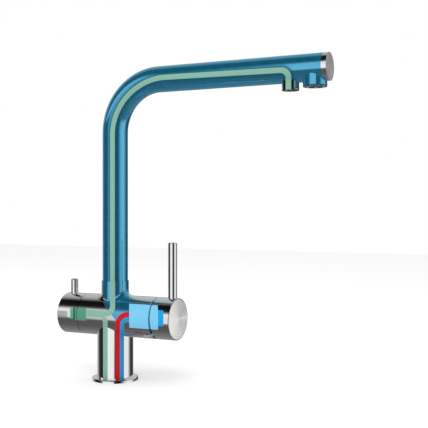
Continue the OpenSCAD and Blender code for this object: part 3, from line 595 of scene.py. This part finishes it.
def neckFillet():
    # A ball rolled round the corner of neck and barrel. A sheet of points, round the neck by across the
    # corner, is bent into its path; four more points across close each section inside the metal
    form = Form("neckFillet", filletSizes)
    neck, barrel, axisZ, ball, sunk, count, across = form.size(*filletSizes)
    many = across + 5
    sheet = form.add("GeometryNodeMeshGrid", {}, {"Vertices X": count + 1, "Vertices Y": many})
    index = form.add("GeometryNodeInputIndex")
    stepRound = (index / many).sum("FLOOR", index / many)
    stepAcross = index.sum("MODULO", index, many)
    turn = stepRound * (2 * math.pi) / count
    cosine = turn.sum("COSINE", turn)
    sine = turn.sum("SINE", turn)
    far = neck + ball
    reach = barrel + ball
    middleY = sine * far
    rise = (reach * reach - middleY * middleY).root()
    opening = turn.sum("ARCCOSINE", sine * middleY / reach)
    share = (stepAcross / across).least(1.0) * (stepAcross < across + 1.5)
    back = turn.sum("SINE", (1 - share) * opening) / turn.sum("SINE", opening)
    down = turn.sum("SINE", share * opening) / turn.sum("SINE", opening)
    depth = ball + sunk * (stepAcross > across + 0.5) * (stepAcross < across + 3.5)
    leanX = 0 - cosine * back
    leanY = 0 - sine * back - middleY / reach * down
    leanZ = 0 - rise / reach * down
    spot = form.add("ShaderNodeCombineXYZ", {}, [
        cosine * far + leanX * depth, middleY + leanY * depth, axisZ + rise + leanZ * depth])
    inX = cosine * (neck - sunk)
    inY = sine * (neck - sunk)
    inner = form.add("ShaderNodeCombineXYZ", {}, [
        inX, inY, axisZ + (barrel * barrel - inY * inY).root() - sunk])
    isInner = (stepAcross > across + 1.5) * (stepAcross < across + 2.5)
    spot = form.add("GeometryNodeSwitch", {"input_type": "VECTOR"}, [isInner, spot, inner])
    bent = form.add("GeometryNodeSetPosition", {}, {"Geometry": sheet, "Position": spot})
    joined = form.add("GeometryNodeMergeByDistance", {}, {"Geometry": bent, "Distance": 0.000001})
    smooth = form.add("GeometryNodeSetShadeSmooth", {}, {"Geometry": joined})
    return outward(form.grow("neck_fillet", smooth, "bodyPlate"))


# The lugs' middle lies just below the insert, so that they reach a little way into it
lugSizes = {"count": 7, "ring": 0.0099, "long": 0.0022, "wide": 0.0009, "high": 0.0006,
            "low": boxOf("aerator_insert")[0][2] - 0.00025, "aside": middleOf("aerator_insert")[0]}


def aeratorLugs():
    # Small lugs round the mouth of the aerator, for the key that screws it in
    form = Form("aeratorLugs", lugSizes)
    count, ring, long, wide, high, low, aside = form.size(*lugSizes)
    spots = form.add("GeometryNodeMeshCircle", {}, {"Vertices": count, "Radius": ring})
    size = form.add("ShaderNodeCombineXYZ", {}, [wide, long, high])
    lug = form.add("GeometryNodeMeshCube", {}, {"Size": size})
    index = form.add("GeometryNodeInputIndex")
    turn = form.add("ShaderNodeCombineXYZ", {}, [0.0, 0.0, index * (2 * math.pi) / count])
    lugs = form.add("GeometryNodeInstanceOnPoints", {}, {
        "Points": spots, "Instance": lug, "Rotation": turn})
    place = form.add("ShaderNodeCombineXYZ", {}, [aside, 0.0, low])
    moved = form.add("GeometryNodeTransform", {}, {"Geometry": lugs, "Translation": place})
    return form.grow("aerator_lugs", moved, "whiteMoulded")


def outward(data):
    # Turns every face's normal outward
    mesh = bmesh.new()
    mesh.from_mesh(data)
    bmesh.ops.recalc_face_normals(mesh, faces=mesh.faces)
    mesh.to_mesh(data)
    mesh.free()
    return data


def newPiece(name, data, finish, body):
    # A piece of the scene's own, on the body that it moves with
    piece = bpy.data.objects.new(name, data)
    bpy.context.scene.collection.objects.link(piece)
    data.materials.clear()
    data.materials.append(finishes[finish])
    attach(piece, body)


newPiece("neck_fillet", neckFillet(), "bodyPlate", "body")
newPiece("aerator_lugs", aeratorLugs(), "whiteMoulded", "spout")
print("neck fillet and aerator lugs made")


# Brightness of the room that plated metal mirrors, in degrees: by the angle up from the front, and by the
# turn from the photographed side
overhead = [(-180, 0.85), (-150, 0.3), (-108, 0.2), (-89, 0.16), (-65, 0.1), (-39, 0.095), (-27, 0.11),
            (-22, 0.16), (-15, 0.3), (-10, 0.6), (-5, 0.85), (28, 0.85), (33, 0.5), (38, 0.22),
            (44, 0.06), (50, 0.01), (78, 0.003), (84, 0.03), (90, 0.13), (97, 0.25), (105, 0.38),
            (120, 0.48), (150, 0.55), (170, 0.55), (180, 0.85)]
sideways = [(-180, 0.03), (-166, 0.05), (-158, 0.75), (-148, 0.72), (-136, 0.5), (-127, 0.3),
            (-119, 0.17), (-110, 0.04), (-78, 0.008), (-68, 0.05), (-62, 0.35), (-56, 0.8), (-48, 0.92),
            (-20, 0.95), (-2, 0.9), (3, 0.02), (30, 0.01), (38, 0.1), (44, 0.3), (52, 0.6), (63, 0.85),
            (85, 0.92), (94, 0.85), (104, 0.55), (112, 0.2), (120, 0.05), (138, 0.03), (150, 0.08),
            (158, 0.12), (166, 0.05), (180, 0.03)]
# Heights in degrees over which the sideways bands fade in from below, and out again above
levelHeights = {"in": (-24.0, -14.0), "out": (9.5, 11.5)}
cameraSizes = {"lens": 67.6, "place": (0.4788, -0.7622, 0.1913), "turn": 25.13, "shiftY": -0.0169}


def studioWorld():
    # White for the camera, grey for diffuse light, and for mirrors the sideways bands where the view is
    # nearly level and the overhead bands elsewhere
    world = bpy.data.worlds.new("studio")
    bpy.context.scene.world = world
    sheet = Sheet(world)
    way = sheet.add("ShaderNodeTexCoord", {}, (), "Generated")
    x, y, z = sheet.axes(way)
    degrees = 180 / math.pi
    angle = sheet.add("ShaderNodeMath", {"operation": "ARCTAN2"}, [z, 0 - y]) * degrees
    facing = math.radians(cameraSizes["turn"] - 90)
    ahead = x * math.cos(facing) + y * math.sin(facing)
    aside = y * math.cos(facing) - x * math.sin(facing)
    turn = sheet.add("ShaderNodeMath", {"operation": "ARCTAN2"}, [aside, ahead]) * degrees
    height = sheet.add("ShaderNodeMath", {"operation": "ARCSINE"}, [z]) * degrees
    level = sheet.ease(height, *levelHeights["in"]) * sheet.ease(height, *levelHeights["out"], 1.0, 0.0)
    above = ramp(sheet, angle, -180, 180, overhead)
    bands = sheet.blend(level, above, ramp(sheet, turn, -180, 180, sideways))
    path = sheet.add("ShaderNodeLightPath", {}, (), None)
    camera = Wire(sheet, path.outputs["Is Camera Ray"])
    glossy = Wire(sheet, path.outputs["Is Glossy Ray"])
    colour = sheet.blend(glossy, (0.8, 0.8, 0.8), bands)
    colour = sheet.blend(camera, colour, (1.0, 1.0, 1.0))
    light = sheet.add("ShaderNodeBackground", {}, {"Color": colour, "Strength": 1.0})
    sheet.add("ShaderNodeOutputWorld", {}, {"Surface": light}, None)


floorSizes = {"half": 2.5, "colour": (0.97, 0.97, 0.97), "paler": (0.985, 0.985, 0.985), "lift": 0.14}


def studioFloor():
    # A pale floor for the shadow, lifted a little towards white, that the plated metal doesn't mirror
    c = floorSizes
    half = c["half"]
    corners = [(-half, -half, 0), (half, -half, 0), (half, half, 0), (-half, half, 0)]
    data = bpy.data.meshes.new("floor")
    data.from_pydata(corners, [], [(0, 1, 2, 3)])
    floor = bpy.data.objects.new("floor", data)
    bpy.context.scene.collection.objects.link(floor)

    def build(sheet):
        pale = sheet.blend(sheet.noise(sheet.place(), 30.0), c["colour"], c["paler"])
        solid = sheet.add("ShaderNodeBsdfPrincipled", {}, {
            "Base Color": pale, "Roughness": 0.9, "Specular IOR Level": 0.0})
        path = sheet.add("ShaderNodeLightPath", {}, (), None)
        camera = Wire(sheet, path.outputs["Is Camera Ray"])
        glossy = Wire(sheet, path.outputs["Is Glossy Ray"])
        lift = sheet.add("ShaderNodeEmission", {}, {
            "Color": (1.0, 1.0, 1.0), "Strength": camera * c["lift"]})
        lifted = sheet.add("ShaderNodeAddShader", {}, [solid, lift])
        away = sheet.add("ShaderNodeBsdfTransparent")
        return sheet.add("ShaderNodeMixShader", {}, {0: glossy, 1: lifted, 2: away})

    data.materials.append(newFinish("floorPale", build))


lamps = {
    "key": {"spot": (0.5, -1.1, 1.5), "size": 1.0, "power": 7.0},
    "fill": {"spot": (-1.2, -0.4, 1.2), "size": 1.2, "power": 4.0},
}
lampAim = (0.06, 0.0, 0.16)


def studioLamps():
    # Two soft lamps give the floor a faint shadow; the plated metal sees only the world
    for name, c in lamps.items():
        lamp = bpy.data.lights.new(name, "AREA")
        lamp.size = c["size"]
        lamp.energy = c["power"]
        holder = bpy.data.objects.new(name, lamp)
        bpy.context.scene.collection.objects.link(holder)
        holder.location = c["spot"]
        ray = Vector(lampAim) - Vector(c["spot"])
        holder.rotation_euler = ray.to_track_quat("-Z", "Y").to_euler()
        holder.visible_glossy = False


def studioCamera():
    c = cameraSizes
    data = bpy.data.cameras.new("camera")
    data.sensor_width = 36.0
    data.lens = c["lens"]
    data.shift_y = c["shiftY"]
    data.clip_start = 0.05
    data.clip_end = 50.0
    camera = bpy.data.objects.new("camera", data)
    bpy.context.scene.collection.objects.link(camera)
    camera.location = c["place"]
    camera.rotation_euler = (math.radians(90), 0, math.radians(c["turn"]))
    bpy.context.scene.camera = camera


studioWorld()
studioFloor()
studioLamps()
studioCamera()
bpy.context.scene.view_settings.view_transform = "Standard"
print("studio, floor, lamps and camera ready")
